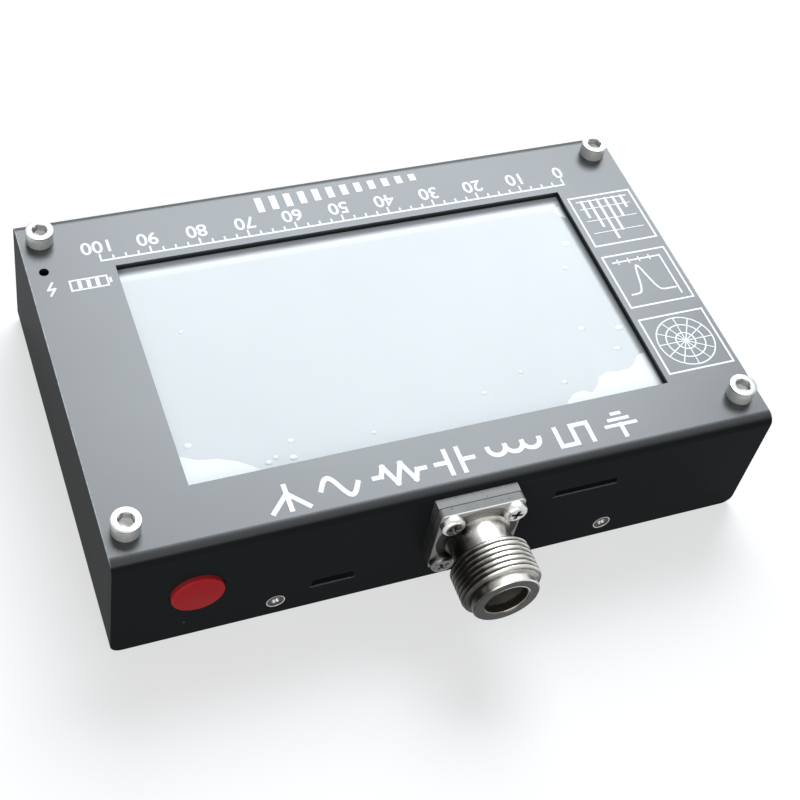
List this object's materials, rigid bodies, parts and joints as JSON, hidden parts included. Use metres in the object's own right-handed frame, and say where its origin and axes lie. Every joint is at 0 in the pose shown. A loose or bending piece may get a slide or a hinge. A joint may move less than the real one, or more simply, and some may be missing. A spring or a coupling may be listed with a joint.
{
  "type": "antenna analyzer",
  "caption": "Flat handheld antenna analyzer in a folded black metal case, with a touch screen, a threaded antenna jack and a red push button on one long edge.",
  "frame": {"origin": "centre of the case's back face", "axes": "+X to the right and +Z out of the screen as the screen is read, +Y towards the long wall with the antenna jack"},
  "size_m": [0.134, 0.1031, 0.0325],
  "materials": {
    "case_black": "satin black anodised sheet aluminium",
    "screw_steel": "bright plated steel",
    "post_brass": "turned, unplated",
    "jack_nickel": "bright nickel with fine wear",
    "plate_metal": "milled",
    "bead_white": "waxy white",
    "contact_gold": "gold plated",
    "button_red": "semi-gloss red",
    "plastic_white": "moulded",
    "plastic_black": "moulded",
    "spring_steel": "drawn wire",
    "screen_film": "clear film over the unlit screen",
    "screen_glass": "polished",
    "tray_steel": "tinned sheet",
    "foam_black": "foam",
    "ribbon_amber": "film cable",
    "board_green": "solder mask",
    "light_lens": "clear tinted lens",
    "battery_wrap": "foil pouch",
    "lead_cover": "wire insulation"
  },
  "bodies": {
    "case": {"antenna_port_contact": "contact_gold", "antenna_port_insulator": "bead_white", "antenna_port_screws": "screw_steel", "antenna_port_shell": "jack_nickel", "antenna_port_spacer": "plate_metal", "base_pan": "case_black", "base_screws": "screw_steel", "battery_cell": "battery_wrap", "battery_guard_board": "board_green", "battery_leads": "lead_cover", "battery_plug": "plastic_white", "battery_socket": "plastic_white", "battery_tape": "foam_black", "board_leads": "lead_cover", "board_parts": "plastic_black", "board_screws": "screw_steel", "card_contacts": "contact_gold", "card_socket_base": "plastic_black", "card_socket_shell": "tray_steel", "charge_light": "light_lens", "charger_board": "board_green", "charger_chip": "plastic_black", "charger_coil": "plastic_black", "charger_screws": "screw_steel", "charger_standoffs": "screw_steel", "corner_screws": "screw_steel", "crystal_can": "tray_steel", "front_cover": "case_black", "light_legs": "tray_steel", "main_board": "board_green", "memory_chip": "plastic_black", "processor_chip": "plastic_black", "radio_chips": "plastic_black", "ribbon_connector": "plastic_white", "screen_backlight": "plastic_white", "screen_film": "screen_film", "screen_gasket": "foam_black", "screen_glass": "screen_glass", "screen_pads": "foam_black", "screen_ribbon": "ribbon_amber", "screen_tray": "tray_steel", "shield_can": "tray_steel", "standoffs": "post_brass", "switch_body": "plastic_black", "switch_pins": "contact_gold", "switch_spring": "spring_steel", "touch_connector": "plastic_white", "touch_panel": "screen_glass", "touch_ribbon": "ribbon_amber", "usb_socket_shell": "tray_steel", "usb_socket_tongue": "plastic_black"},
    "power_button": {"button_cap": "button_red", "switch_plunger": "plastic_white"}
  },
  "joints": [
    {"name": "power_press", "type": "slide", "parent": "case", "child": "power_button", "axis": [0, -1, 0], "range_m": [0, 0.0015], "stiffness_N_per_m": 600, "springref_m": -0.001, "deforming": ["switch_spring"]}
  ]
}
